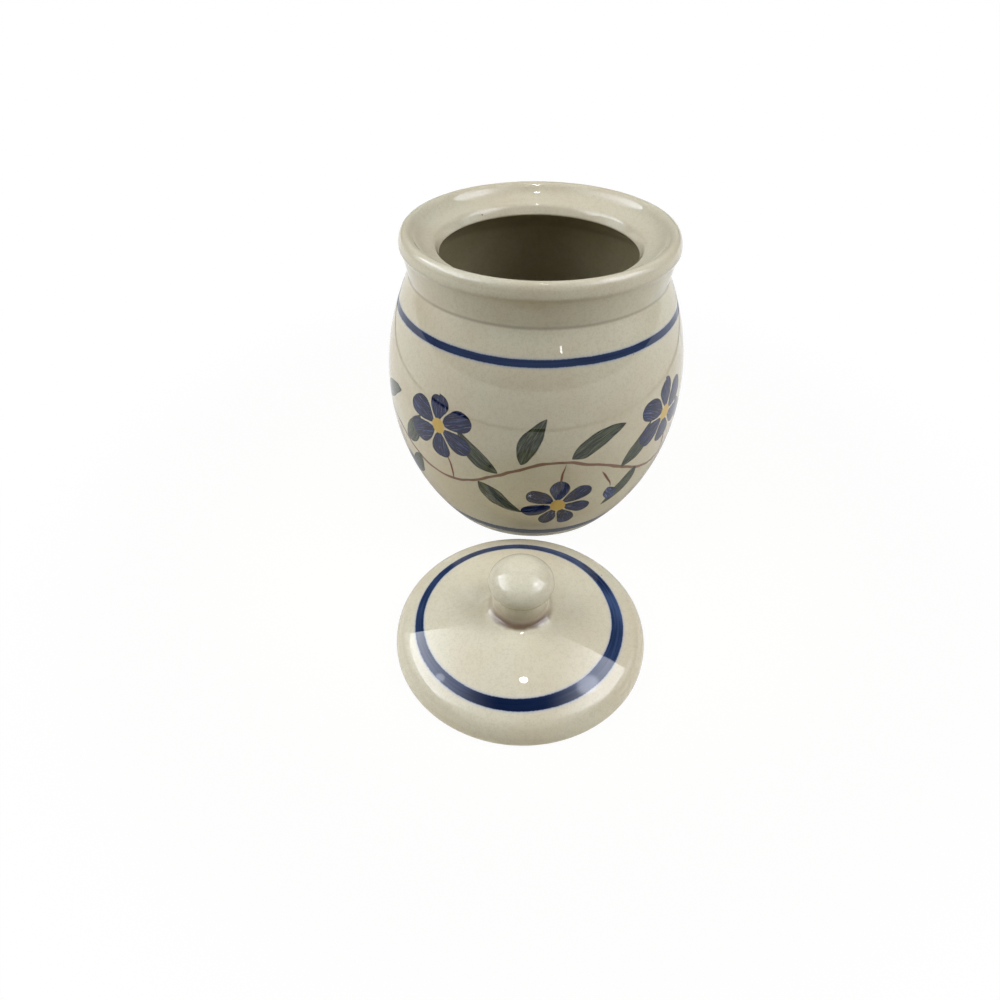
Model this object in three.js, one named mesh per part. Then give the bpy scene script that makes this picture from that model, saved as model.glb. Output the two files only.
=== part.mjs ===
// A lidded stoneware jar, shown open: a round-bellied body with a recessed lid seat inside its lip, and a
// domed lid with a flattened ball knob that lies flat in front of it. Millimetres, +Z up. The origin is the
// centre of the flat base, on the surface that both pieces stand on.
import * as THREE from 'three';

// Lid and its seat: the lip is built around the lid, so the lid always drops into it.
const LID_RADIUS = 50;
const LID_CLEARANCE = 1;
const SEAT_DEPTH = 6.15;
const SEAT_WIDTH = 10.4;
const SEAT_SLOPE = THREE.MathUtils.degToRad(14);
const SEAT_THICKNESS = 4.25;
const MOUTH_DRAFT = 2;
const MOUTH_EDGE_ROUND = 1.5;

// Rounded underside of the lid's edge, and the cove at the back of the seat, where that edge rests.
const EDGE_HEIGHT = 1.5;
const EDGE_ROUND = 3.5;
const COVE_CLEARANCE = 0.9;

// Lip: the rounded rim around the seat, and the steep step from its crest down to the cove.
const LIP_WIDTH = 5.8;
const LIP_HEIGHT = 7.5;
const LIP_SHOULDER = 5.1;
const LIP_STEP = 1.1;
const CREST_INSET = 2.95;
const CREST_FALL = 1.9;
const CREST_SLOPE = THREE.MathUtils.degToRad(60);

// Body: overall height, the two arcs of the belly, the crease under the neck, and the walls.
const JAR_HEIGHT = 129;
const NECK_RISE = 17.5;
const NECK_INSET = 2.9;
const BELLY_SWELL = 12.6;
const BELLY_HEIGHT = 61;
const FOOT_INSET = 20.2;
const FOOT_CHAMFER = 0.8;
const WALL = 5;
const BASE_THICKNESS = 7;
const FLOOR_ROUND = 9;

// Lid: dome, the shoulder where it turns down to the edge, and the ring that it stands on.
const LID_RISE = 19;
const LID_SHOULDER = 7;
const SHOULDER_ROUND = 4.5;
const DOME_REACH = 8;
const LID_WALL = 4.6;
const LID_RING_WIDTH = 8;
const LID_RING_DRAFT = 0.4;

// Knob: a flattened ball on a short neck, which flares at its foot on to a flat land on top of the dome.
const KNOB_RADIUS = 12.65;
const KNOB_HALF_HEIGHT = 7.9;
const KNOB_NECK_RADIUS = 10.5;
const KNOB_NECK_HEIGHT = 9.5;
const KNOB_FLARE = 2.3;
const KNOB_FLARE_RISE = 3.2;

// Where the lid lies: the gap from the foot to the lid's edge, and the bearing from straight ahead.
const LID_GAP = 7.8;
const LID_BEARING = THREE.MathUtils.degToRad(4.3);

// Facets around each turned piece; multiples of four keep the widest points on the X and Y axes.
const BODY_FACETS = 60;
const LID_FACETS = 60;
const KNOB_FACETS = 36;

// Glaze, the same on every piece.
const GLAZE_COLOUR = 0xd3cab8;
const GLAZE_ROUGHNESS = 0.18;

// Sizes that follow from the driving dimensions.
const recessRadius = LID_RADIUS + LID_CLEARANCE;
const mouthRadius = recessRadius - SEAT_WIDTH;
const seatHeight = JAR_HEIGHT - SEAT_DEPTH;
const lipRadius = recessRadius + LIP_WIDTH;
const crestRadius = recessRadius + CREST_INSET;
const coveWidth = EDGE_ROUND + COVE_CLEARANCE;
const mouthEdgeRadius = mouthRadius + MOUTH_DRAFT;
const neckRadius = lipRadius - NECK_INSET;
const neckHeight = JAR_HEIGHT - NECK_RISE;
const bellyRadius = neckRadius + BELLY_SWELL;
const footRadius = bellyRadius - FOOT_INSET;
const knobFootRadius = KNOB_NECK_RADIUS + KNOB_FLARE;

// A point of an outline: distance from the axis and height.
function point(radius, height) {
  return new THREE.Vector2(radius, height);
}

// Points of an ellipse arc about a centre, between two angles measured from the outward direction.
function ellipseArc(centre, across, up, fromAngle, toAngle, steps) {
  const clockwise = toAngle < fromAngle;
  const curve = new THREE.EllipseCurve(centre.x, centre.y, across, up, fromAngle, toAngle, clockwise);
  return curve.getPoints(steps);
}

// Points of a soft corner that leaves one point and reaches another, pulled towards the corner itself.
function softCorner(from, corner, to, steps) {
  return new THREE.QuadraticBezierCurve(from, corner, to).getPoints(steps);
}

// The arc of a swelling wall: upright at its widest point, and running to a narrower end above or below.
function swellArc(widest, end) {
  const drop = widest.x - end.x;
  const rise = end.y - widest.y;
  const radius = (rise * rise + drop * drop) / (2 * drop);
  const centre = point(widest.x - radius, widest.y);
  return { radius, centre, endAngle: Math.atan2(rise, radius - drop) };
}

// Angle on a swelling arc at a given height.
function angleAtHeight(arc, height) {
  return Math.asin((height - arc.centre.y) / arc.radius);
}

// Point on a swelling arc at a given angle.
function pointOnArc(arc, angle) {
  return point(arc.centre.x + arc.radius * Math.cos(angle), arc.centre.y + arc.radius * Math.sin(angle));
}

// Points of a swelling arc between two angles.
function arcPoints(arc, fromAngle, toAngle, steps) {
  return ellipseArc(arc.centre, arc.radius, arc.radius, fromAngle, toAngle, steps);
}

// A closed body turned about the Z axis from an outline that starts and ends on the axis.
function turned(name, outline, facets) {
  const geometry = new THREE.LatheGeometry(outline, facets);
  geometry.rotateX(Math.PI / 2);
  const material = new THREE.MeshStandardMaterial({
    color: GLAZE_COLOUR,
    roughness: GLAZE_ROUGHNESS,
    metalness: 0,
  });
  const mesh = new THREE.Mesh(geometry, material);
  mesh.name = name;
  return mesh;
}

// Outside of the body, from the centre of the base up to the lower edge of the lip.
function bodyOutside() {
  const widest = point(bellyRadius, BELLY_HEIGHT);
  const lower = swellArc(widest, point(footRadius, 0));
  const upper = swellArc(widest, point(neckRadius, neckHeight));
  return [
    point(0, 0),
    point(footRadius - FOOT_CHAMFER, 0),
    ...arcPoints(lower, angleAtHeight(lower, FOOT_CHAMFER), 0, 9),
    ...arcPoints(upper, 0, upper.endAngle, 8).slice(1),
    point(lipRadius - LIP_STEP, JAR_HEIGHT - LIP_HEIGHT),
  ];
}

// Point on the sloping seat at a given distance from the axis.
function seatPoint(radius) {
  return point(radius, seatHeight + (radius - mouthEdgeRadius) * Math.tan(SEAT_SLOPE));
}

// Corner where the steep step, drawn on down from its middle, would meet the sloping seat.
function coveCorner(step) {
  const drop = step.y - seatPoint(step.x).y;
  return seatPoint(step.x - drop / (Math.tan(CREST_SLOPE) - Math.tan(SEAT_SLOPE)));
}

// The lip: out over its rounded edge, across the crest, and down the step and the cove to the seat.
function lipOutline() {
  const outer = point(crestRadius, JAR_HEIGHT - LIP_SHOULDER);
  const step = point(recessRadius, JAR_HEIGHT - CREST_FALL);
  const brow = point(recessRadius + CREST_FALL / Math.tan(CREST_SLOPE), JAR_HEIGHT);
  return [
    ...ellipseArc(outer, lipRadius - crestRadius, LIP_SHOULDER, 0, Math.PI / 2, 5),
    ...softCorner(point(crestRadius, JAR_HEIGHT), brow, step, 3).slice(1),
    ...softCorner(step, coveCorner(step), seatPoint(recessRadius - coveWidth), 4).slice(1),
  ];
}

// The seat's inner edge and the throat, which narrows down to its lower edge.
function throatOutline() {
  const corner = seatPoint(mouthEdgeRadius);
  const lowerEdge = point(mouthRadius, seatHeight - SEAT_THICKNESS);
  const wallStart = corner.clone().lerp(lowerEdge, MOUTH_EDGE_ROUND / corner.distanceTo(lowerEdge));
  return [
    ...softCorner(seatPoint(mouthEdgeRadius + MOUTH_EDGE_ROUND), corner, wallStart, 3),
    lowerEdge,
  ];
}

// Inside of the body, from under the seat down to the centre of the floor.
function bodyInside() {
  const widest = point(bellyRadius - WALL, BELLY_HEIGHT);
  const lower = swellArc(widest, point(footRadius - WALL, 0));
  const upper = swellArc(widest, point(neckRadius - WALL, neckHeight));
  const floorCorner = pointOnArc(lower, angleAtHeight(lower, BASE_THICKNESS));
  const roundStart = angleAtHeight(lower, BASE_THICKNESS + FLOOR_ROUND);
  return [
    ...arcPoints(upper, upper.endAngle, 0, 6),
    ...arcPoints(lower, 0, roundStart, 6).slice(1),
    ...softCorner(
      pointOnArc(lower, roundStart),
      floorCorner,
      point(floorCorner.x - FLOOR_ROUND, BASE_THICKNESS),
      4,
    ).slice(1),
    point(0, BASE_THICKNESS),
  ];
}

// The dome of the lid: part of an ellipse through its crown and the shoulder above its edge.
function lidDome() {
  const across = LID_RADIUS + DOME_REACH;
  const edgeCosine = LID_RADIUS / across;
  const up = (LID_RISE - LID_SHOULDER) / (1 - Math.sqrt(1 - edgeCosine * edgeCosine));
  return { across, up, centre: point(0, LID_RISE - up) };
}

// Angle on the dome at a given distance from the axis.
function domeAngle(dome, radius) {
  return Math.acos(radius / dome.across);
}

// Height of the dome at a given distance from the axis.
function domeHeight(dome, radius) {
  return dome.centre.y + dome.up * Math.sin(domeAngle(dome, radius));
}

// Outline of the lid: its hollow underside, the ring that it stands on, the rounded edge and the dome.
function lidOutline(dome) {
  const hollowCentre = point(0, dome.centre.y - LID_WALL);
  const hollowRadius = LID_RADIUS - LID_RING_WIDTH;
  const domeStart = LID_RADIUS - SHOULDER_ROUND;
  const domeEdge = point(domeStart, domeHeight(dome, domeStart));
  return [
    ...ellipseArc(hollowCentre, dome.across, dome.up, Math.PI / 2, domeAngle(dome, hollowRadius), 6),
    point(hollowRadius + LID_RING_DRAFT, 0),
    ...softCorner(
      point(LID_RADIUS - EDGE_ROUND, 0),
      point(LID_RADIUS, 0),
      point(LID_RADIUS, EDGE_HEIGHT),
      4,
    ),
    ...softCorner(
      point(LID_RADIUS, EDGE_HEIGHT),
      point(LID_RADIUS, LID_SHOULDER),
      domeEdge,
      4,
    ).slice(1),
    ...ellipseArc(
      dome.centre,
      dome.across,
      dome.up,
      domeAngle(dome, domeStart),
      domeAngle(dome, knobFootRadius),
      8,
    ).slice(1),
    point(0, domeHeight(dome, knobFootRadius)),
  ];
}

// Outline of the knob: flat foot, flare, straight neck and flattened ball.
function knobOutline(footHeight) {
  const neckTop = footHeight + KNOB_NECK_HEIGHT;
  const neckAngle = -Math.acos(KNOB_NECK_RADIUS / KNOB_RADIUS);
  const ballCentre = point(0, neckTop - KNOB_HALF_HEIGHT * Math.sin(neckAngle));
  return [
    point(0, footHeight),
    ...softCorner(
      point(knobFootRadius, footHeight),
      point(KNOB_NECK_RADIUS, footHeight),
      point(KNOB_NECK_RADIUS, footHeight + KNOB_FLARE_RISE),
      4,
    ),
    ...ellipseArc(ballCentre, KNOB_RADIUS, KNOB_HALF_HEIGHT, neckAngle, Math.PI / 2, 12),
  ];
}

// The jar body.
function makeJarBody() {
  const outline = [...bodyOutside(), ...lipOutline(), ...throatOutline(), ...bodyInside()];
  return turned('jar_body', outline, BODY_FACETS);
}

// The lid and its knob, lying together where the lid was put down.
function makeLid() {
  const dome = lidDome();
  const distance = footRadius + LID_GAP + LID_RADIUS;
  const group = new THREE.Group();
  group.position.set(-distance * Math.sin(LID_BEARING), -distance * Math.cos(LID_BEARING), 0);
  group.add(turned('lid', lidOutline(dome), LID_FACETS));
  group.add(turned('lid_knob', knobOutline(domeHeight(dome, knobFootRadius)), KNOB_FACETS));
  return group;
}

const jar = new THREE.Group();
jar.add(makeJarBody(), makeLid());

export default jar;
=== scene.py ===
"""A lidded stoneware jar, standing open with its lid put down in front.

The fired pieces are turned from their outlines, dressed in a speckled glaze with painted bands and a
garland, and set on a pale floor under soft studio light. Metres, +Z up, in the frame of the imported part.
"""

import logging
import math
from collections.abc import Sequence
from dataclasses import dataclass, replace
from enum import Enum

import bpy
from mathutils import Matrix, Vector


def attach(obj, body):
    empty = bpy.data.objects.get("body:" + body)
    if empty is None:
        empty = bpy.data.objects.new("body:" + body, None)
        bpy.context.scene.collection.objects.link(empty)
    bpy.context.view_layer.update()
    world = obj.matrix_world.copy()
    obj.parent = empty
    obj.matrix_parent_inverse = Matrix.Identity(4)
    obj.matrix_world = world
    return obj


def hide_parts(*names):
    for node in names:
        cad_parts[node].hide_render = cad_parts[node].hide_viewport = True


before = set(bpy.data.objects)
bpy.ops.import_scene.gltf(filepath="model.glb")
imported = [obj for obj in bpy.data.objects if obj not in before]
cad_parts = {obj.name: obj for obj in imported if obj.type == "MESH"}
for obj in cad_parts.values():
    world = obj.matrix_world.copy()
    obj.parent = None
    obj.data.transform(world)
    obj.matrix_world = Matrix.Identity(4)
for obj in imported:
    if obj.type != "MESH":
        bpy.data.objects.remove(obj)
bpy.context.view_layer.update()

LOG = logging.getLogger("jar")
MM = 0.001

Point = tuple[float, float]
Spot = tuple[float, float, float]
Outline = list[Point]
Colour = tuple[float, float, float, float]
Socket = bpy.types.NodeSocket
Outputs = bpy.types.bpy_prop_collection
NodeTree = bpy.types.NodeTree
Material = bpy.types.Material
Object = bpy.types.Object
Feed = Socket | float | tuple[float, ...]


class Body(Enum):
    """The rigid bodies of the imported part."""

    JAR = "jar"
    LID = "lid"


class Slot(Enum):
    """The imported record's material slots."""

    GLAZE = "speckled_glaze"


class Skin(Enum):
    """The kinds of surface on a fired piece, in the order of its material slots."""

    PAINTED = 0
    PLAIN = 1
    BARE = 2
    # The inside: a darker glaze that paints the shade in the hollow.
    LINER = 3


class Port(Enum):
    """Kinds of socket on a node group."""

    VALUE = "NodeSocketFloat"
    VECTOR = "NodeSocketVector"
    COLOUR = "NodeSocketColor"


class LampShape(Enum):
    """Shapes of a lamp's face."""

    OBLONG = "RECTANGLE"
    ROUND = "DISK"


def rgb(red: int, green: int, blue: int) -> Colour:
    """Turns an 8-bit display colour into Blender's linear values.

    Args:
        red: Red level, 0 to 255.
        green: Green level, 0 to 255.
        blue: Blue level, 0 to 255.

    Returns:
        The linear colour with full alpha.
    """

    def linear(level: int) -> float:
        """Undoes the display curve for one channel."""
        share = level / 255
        return share / 12.92 if share <= 0.04045 else ((share + 0.055) / 1.055) ** 2.4

    return (linear(red), linear(green), linear(blue), 1.0)


def ellipse_arc(
    centre: Point, across: float, up: float, start: float, end: float, steps: int
) -> Outline:
    """Points of an ellipse arc.

    Args:
        centre: Centre of the ellipse, as distance from the axis and height.
        across: Half its width.
        up: Half its height.
        start: First angle, from the outward direction.
        end: Last angle.
        steps: Number of steps between them.

    Returns:
        The points from the first angle to the last.
    """
    angles = [start + (end - start) * i / steps for i in range(steps + 1)]
    return [(centre[0] + across * math.cos(a), centre[1] + up * math.sin(a)) for a in angles]


def soft_corner(start: Point, corner: Point, end: Point, steps: int) -> Outline:
    """Points of a rounded corner, pulled towards the corner itself.

    Args:
        start: First point.
        corner: The sharp corner.
        end: Last point.
        steps: Number of steps.

    Returns:
        The points from start to end.
    """
    points: Outline = []
    for i in range(steps + 1):
        t = i / steps
        a, b, c = (1 - t) ** 2, 2 * t * (1 - t), t * t
        points.append(tuple(a * s + b * k + c * e for s, k, e in zip(start, corner, end)))
    return points


def step_from(start: Point, angle: float, distance: float) -> Point:
    """Point at a distance from another, in a direction."""
    return start[0] + distance * math.cos(angle), start[1] + distance * math.sin(angle)


def stand(name: str, data: bpy.types.ID, place: Spot = (0.0, 0.0, 0.0)) -> Object:
    """Puts new data into the scene.

    Args:
        name: The new object's name.
        data: Its mesh, light or camera.
        place: Where it goes.

    Returns:
        The new object.
    """
    made = bpy.data.objects.new(name, data)
    made.location = place
    bpy.context.scene.collection.objects.link(made)
    return made


def hand_over(piece: Object, body: Body, node: str) -> Object:
    """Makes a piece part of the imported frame.

    Args:
        piece: The piece.
        body: The body that it moves with.
        node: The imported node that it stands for.

    Returns:
        The same piece.
    """
    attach(piece, body.value)
    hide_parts(node)
    return piece


@dataclass(frozen=True)
class SwellArc:
    """The arc of a swelling wall, upright at its widest point."""

    radius: float
    centre: Point
    end_angle: float

    @classmethod
    def through(cls, widest: Point, end: Point) -> "SwellArc":
        """Makes the arc.

        Args:
            widest: Its widest point.
            end: Its narrower end.

        Returns:
            The arc.
        """
        drop = widest[0] - end[0]
        rise = end[1] - widest[1]
        radius = (rise * rise + drop * drop) / (2 * drop)
        return cls(radius, (widest[0] - radius, widest[1]), math.atan2(rise, radius - drop))

    def angle_at(self, height: float) -> float:
        """Angle on the arc at a height."""
        return math.asin((height - self.centre[1]) / self.radius)

    def points(self, start: float, end: float, steps: int) -> Outline:
        """Points of the arc between two angles."""
        return ellipse_arc(self.centre, self.radius, self.radius, start, end, steps)


@dataclass(frozen=True)
class Stretch:
    """A run of a turned outline with one kind of skin."""

    points: Outline
    skin: Skin


class Turner:
    """Turns outlines about an upright axis into closed meshes."""

    sharp = math.radians(38.0)

    def __init__(self, segments: int) -> None:
        """Keeps the number of segments around."""
        self.segments = segments

    def turn(
        self, name: str, stretches: Sequence[Stretch], at: Point = (0.0, 0.0)
    ) -> Object:
        """Turns joined stretches, the first starting and the last ending on the axis.

        Args:
            name: Name of the new object.
            stretches: The outline's runs, each starting where the one before ends.
            at: Where its axis stands, in millimetres.

        Returns:
            The new object, standing in the scene.
        """
        points = stretches[0].points[:1]
        skins: list[Skin] = []
        for stretch in stretches:
            points = points + stretch.points[1:]
            skins += [stretch.skin] * (len(stretch.points) - 1)
        mesh = bpy.data.meshes.new(name)
        vertices, faces = self._rings(points)
        mesh.from_pydata(vertices, [], faces)
        for index, face in enumerate(mesh.polygons):
            face.use_smooth = True
            face.material_index = skins[index // self.segments].value
        mesh.set_sharp_from_angle(angle=self.sharp)
        mesh.update()
        return stand(name, mesh, (at[0] * MM, at[1] * MM, 0.0))

    def _rings(self, points: Outline) -> tuple[list[Spot], list[tuple[int, ...]]]:
        """Makes the mesh of an outline, with a single point at each pole.

        Args:
            points: The whole outline.

        Returns:
            The vertices and the faces.
        """
        count = self.segments
        turns = [math.tau * i / count for i in range(count)]
        vertices = [(0.0, 0.0, points[0][1] * MM)]
        for radius, height in points[1:-1]:
            vertices += [
                (radius * math.sin(a) * MM, -radius * math.cos(a) * MM, height * MM) for a in turns
            ]
        vertices.append((0.0, 0.0, points[-1][1] * MM))
        pairs = [(j, (j + 1) % count) for j in range(count)]
        top = 1 + (len(points) - 3) * count
        faces: list[tuple[int, ...]] = [(0, 1 + k, 1 + j) for j, k in pairs]
        for low in range(1, top, count):
            high = low + count
            faces += [(low + j, low + k, high + k, high + j) for j, k in pairs]
        faces += [(top + j, top + k, len(vertices) - 1) for j, k in pairs]
        return vertices, faces


class NodeBench:
    """Lays out nodes in one node tree."""

    mix_under = 6
    mix_over = 7
    mix_result = 2

    def __init__(self, tree: NodeTree) -> None:
        """Keeps the tree that the nodes go into."""
        self.tree = tree

    @classmethod
    def cleared(cls, owner: Material | bpy.types.World) -> "NodeBench":
        """Starts the nodes of a new material or world.

        Args:
            owner: The material or world.

        Returns:
            A bench with no nodes yet.
        """
        owner.use_nodes = True
        owner.node_tree.nodes.clear()
        return cls(owner.node_tree)

    def node(
        self, kind: str, feeds: dict[str | int, Feed] | None = None, **settings: object
    ) -> bpy.types.Node:
        """Adds a node.

        Args:
            kind: The node's type name.
            feeds: What goes into its inputs, by name or number.
            **settings: Properties to set on it first.

        Returns:
            The new node.
        """
        made = self.tree.nodes.new(kind)
        for name, value in settings.items():
            setattr(made, name, value)
        for key, value in (feeds or {}).items():
            self.feed(made.inputs[key], value)
        return made

    def feed(self, socket: Socket, value: Feed) -> None:
        """Links a socket to another, or sets a plain value on it.

        Args:
            socket: The socket to feed.
            value: The other socket, or the value.
        """
        if isinstance(value, bpy.types.NodeSocket):
            self.tree.links.new(value, socket)
        else:
            socket.default_value = value

    def math(self, operation: str, *values: Feed) -> Socket:
        """One arithmetic step on one to three values."""
        return self.node("ShaderNodeMath", dict(enumerate(values)), operation=operation).outputs[0]

    def times(self, a: Feed, b: Feed) -> Socket:
        """Two values multiplied."""
        return self.math("MULTIPLY", a, b)

    def minus(self, a: Feed, b: Feed) -> Socket:
        """One value less another."""
        return self.math("SUBTRACT", a, b)

    def over(self, a: Feed, b: Feed) -> Socket:
        """One value divided by another."""
        return self.math("DIVIDE", a, b)

    def line(self, value: Feed, slope: Feed, base: Feed) -> Socket:
        """A value times a slope, on top of a base."""
        return self.math("MULTIPLY_ADD", value, slope, base)

    def length(self, x: Feed, y: Feed) -> Socket:
        """Length of a flat step."""
        return self.math("SQRT", self.squares(x, y))

    def squares(self, x: Feed, y: Feed) -> Socket:
        """Sum of two squares."""
        return self.line(x, x, self.times(y, y))

    def ease(self, value: Feed, low: Feed, high: Feed) -> Socket:
        """Rises smoothly from 0 at low to 1 at high, which may be the lesser of the two."""
        feeds = {"Value": value, "From Min": low, "From Max": high}
        return self.node("ShaderNodeMapRange", feeds, interpolation_type="SMOOTHSTEP").outputs["Result"]

    def blend(self, share: Feed, under: Feed, over: Feed) -> Socket:
        """Lays a share of one colour over another."""
        feeds = {0: share, self.mix_under: under, self.mix_over: over}
        return self.node("ShaderNodeMix", feeds, data_type="RGBA").outputs[self.mix_result]

    def cloud(self, vector: Feed, scale: float, detail: float = 2.0, roughness: float = 0.5) -> Socket:
        """The value of cloudy noise over a place."""
        feeds = {"Vector": vector, "Scale": scale, "Detail": detail, "Roughness": roughness}
        return self.node("ShaderNodeTexNoise", feeds).outputs["Fac"]

    def join(self, x: Feed, y: Feed, z: Feed = 0.0) -> Socket:
        """Three values as one vector."""
        return self.node("ShaderNodeCombineXYZ", {0: x, 1: y, 2: z}).outputs[0]

    def split(self, vector: Feed) -> tuple[Socket, ...]:
        """The three values of a vector."""
        return tuple(self.node("ShaderNodeSeparateXYZ", {0: vector}).outputs)

    def beside(self, vector: Feed, x: Feed, y: Feed) -> tuple[Socket, Socket]:
        """The flat step from a point to a place."""
        here = self.split(vector)
        return self.minus(here[0], x), self.minus(here[1], y)

    def scaled(self, vector: Feed, factor: float) -> Socket:
        """A vector made longer or shorter."""
        return self.node("ShaderNodeVectorMath", {0: vector, "Scale": factor}, operation="SCALE").outputs[0]

    def where(self) -> Socket:
        """The place on the object, in metres."""
        return self.node("ShaderNodeTexCoord").outputs["Object"]

    def place(self, group: NodeTree, **feeds: Feed) -> Outputs:
        """Places a node group, fed by its inputs' names in small letters, and gives its outputs."""
        named = {name.replace("_", " ").title(): value for name, value in feeds.items()}
        return self.node("ShaderNodeGroup", named, node_tree=group).outputs


Ports = dict[Port, tuple[str, ...]]


class GroupMaker:
    """Starts a node group with named inputs and outputs."""

    def __init__(self, name: str, inputs: Ports, outputs: Ports) -> None:
        """Makes the group, its sockets and its two end nodes.

        Args:
            name: The group's name.
            inputs: Names of its inputs by kind.
            outputs: Names of its outputs by kind.
        """
        self.tree = bpy.data.node_groups.new(name, "ShaderNodeTree")
        for side, ports in (("INPUT", inputs), ("OUTPUT", outputs)):
            for port, labels in ports.items():
                for label in labels:
                    self.tree.interface.new_socket(name=label, in_out=side, socket_type=port.value)
        self.bench = NodeBench(self.tree)
        start = self.bench.node("NodeGroupInput").outputs
        self.given = tuple(start[label] for labels in inputs.values() for label in labels)
        self._end = self.bench.node("NodeGroupOutput")

    def give(self, **feeds: Feed) -> NodeTree:
        """Ends the group.

        Args:
            **feeds: What its outputs give, by name.

        Returns:
            The finished group.
        """
        for label, value in feeds.items():
            self.bench.feed(self._end.inputs[label], value)
        return self.tree


class GlazeEffects:
    """The effects that the finishes share, each a node group built once. Lengths in millimetres."""

    grain_reach = (0.52, 0.78)
    speck_cells = 0.085
    speck_size = (0.035, 0.012)
    speck_chance = 0.8
    edge_wander = 0.35
    halo_width = 3.0
    rim_reach = (0.9, 0.1)
    paint_edge = 0.3
    petal_heart = 0.2
    petal_middle = 0.58
    petal_half = 0.42

    def __init__(self) -> None:
        """Builds the groups."""
        self.speckle = self._speckle()
        self.band = self._band()
        self.stroke = self._stroke()
        self.blossom = self._blossom()
        self.vine = self._vine()
        self.pigment = self._pigment()

    def _speckle(self) -> NodeTree:
        """Fine grain, scattered iron specks and slow cloudiness of a stoneware glaze.

        Returns:
            The group.
        """
        maker = GroupMaker(
            "GlazeSpeckle",
            {Port.VECTOR: ("Place",)},
            {Port.VALUE: ("Grain", "Specks", "Cloud", "Peel")},
        )
        bench, (place,) = maker.bench, maker.given
        fine = bench.cloud(place, 1.6, roughness=0.6)
        coarse = bench.cloud(place, 0.55, roughness=0.55)
        grain = bench.line(coarse, 0.45, bench.times(fine, 0.75))
        feeds = {"Vector": place, "Scale": self.speck_cells}
        cells = bench.node("ShaderNodeTexVoronoi", feeds, feature="F1").outputs
        lottery = bench.split(cells["Color"])
        size = bench.line(lottery[1], *self.speck_size)
        spot = bench.minus(1.0, bench.ease(cells["Distance"], bench.times(size, 0.35), size))
        rare = bench.math("GREATER_THAN", lottery[0], self.speck_chance)
        return maker.give(
            Grain=bench.ease(grain, *self.grain_reach),
            Specks=bench.times(spot, rare),
            Cloud=bench.cloud(place, 0.035, 3.0, 0.55),
            Peel=bench.cloud(place, 0.3, 1.0),
        )

    def _band(self) -> NodeTree:
        """A stripe laid on with a loaded brush while the piece turns.

        Returns:
            The group.
        """
        maker = GroupMaker(
            "PaintedBand",
            {Port.VECTOR: ("Place",), Port.VALUE: ("Across", "Low", "High", "Wander", "Blur")},
            {Port.VALUE: ("Paint", "Halo", "Density")},
        )
        bench = maker.bench
        place, across, low, high, wander, blur = maker.given
        across = bench.line(bench.minus(bench.cloud(place, 0.06), 0.5), wander, across)
        across = bench.line(bench.minus(bench.cloud(place, 1.4), 0.5), self.edge_wander, across)
        below = bench.minus(across, low)
        inside = bench.math("MINIMUM", below, bench.minus(high, across))
        share = bench.over(below, bench.minus(high, low))
        slow = bench.split(bench.scaled(place, 0.03))
        streak = bench.cloud(bench.join(bench.times(share, 4.0), *slow[:2]), 1.6, 3.0, 0.6)
        density = bench.line(streak, 0.6, bench.times(bench.cloud(place, 0.045), 0.5))
        return maker.give(
            Paint=bench.ease(inside, bench.times(blur, -0.5), blur),
            Halo=bench.ease(inside, bench.times(blur, -self.halo_width), blur),
            Density=bench.ease(density, 0.35, 0.75),
        )

    @staticmethod
    def _round_off(bench: NodeBench, reach: Feed) -> Socket:
        """Falls from 1 in the middle of a brush mark to 0 at both its ends."""
        return bench.math("MAXIMUM", bench.minus(1.0, bench.math("POWER", reach, 2.0)), 0.0)

    def _press(
        self, bench: NodeBench, reach: Feed, side: Feed, blunt: float, taper: Feed, width: Feed, soft: Point
    ) -> dict[str, Socket]:
        """The print of a brush pressed down.

        Args:
            bench: Where the nodes go.
            reach: Share of the half length, from -1 to 1.
            side: Distance from the mark's middle line.
            blunt: How pointed the ends are; less is blunter.
            taper: How much wider the far end is.
            width: Half the width.
            soft: Softness of the edge and of the ends.

        Returns:
            The paint and the rim where it pools, by name.
        """
        round_off = self._round_off(bench, reach)
        half = bench.times(bench.math("POWER", round_off, blunt), bench.line(reach, taper, 1.0))
        inside = bench.minus(bench.times(half, width), bench.math("ABSOLUTE", side))
        ends = bench.ease(round_off, 0.0, soft[1])
        paint = bench.times(bench.ease(inside, -soft[0], self.paint_edge), ends)
        return {"Paint": paint, "Rim": bench.ease(inside, *self.rim_reach)}

    def _stroke(self) -> NodeTree:
        """One press of a pointed brush, such as a leaf or a bud.

        Returns:
            The group.
        """
        measures = ("Along", "Up", "Tilt", "Half Length", "Half Width", "Bow", "Taper")
        maker = GroupMaker(
            "BrushStroke",
            {Port.VECTOR: ("Place",), Port.VALUE: measures},
            {Port.VALUE: ("Paint", "Streak", "Rim")},
        )
        bench = maker.bench
        place, along, up, tilt, half_length, half_width, bow, taper = maker.given
        x, y = bench.beside(place, along, up)
        cosine, sine = bench.math("COSINE", tilt), bench.math("SINE", tilt)
        reach = bench.over(bench.line(x, cosine, bench.times(y, sine)), half_length)
        side = bench.minus(bench.times(y, cosine), bench.times(x, sine))
        side = bench.minus(side, bench.times(bow, self._round_off(bench, reach)))
        hair = bench.join(bench.times(reach, 1.1), bench.times(side, 1.3), bench.times(along, 0.37))
        return maker.give(
            Streak=bench.ease(bench.cloud(hair, 1.5, 3.0, 0.6), 0.35, 0.72),
            **self._press(bench, reach, side, 0.8, taper, half_width, (0.12, 0.04)),
        )

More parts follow.
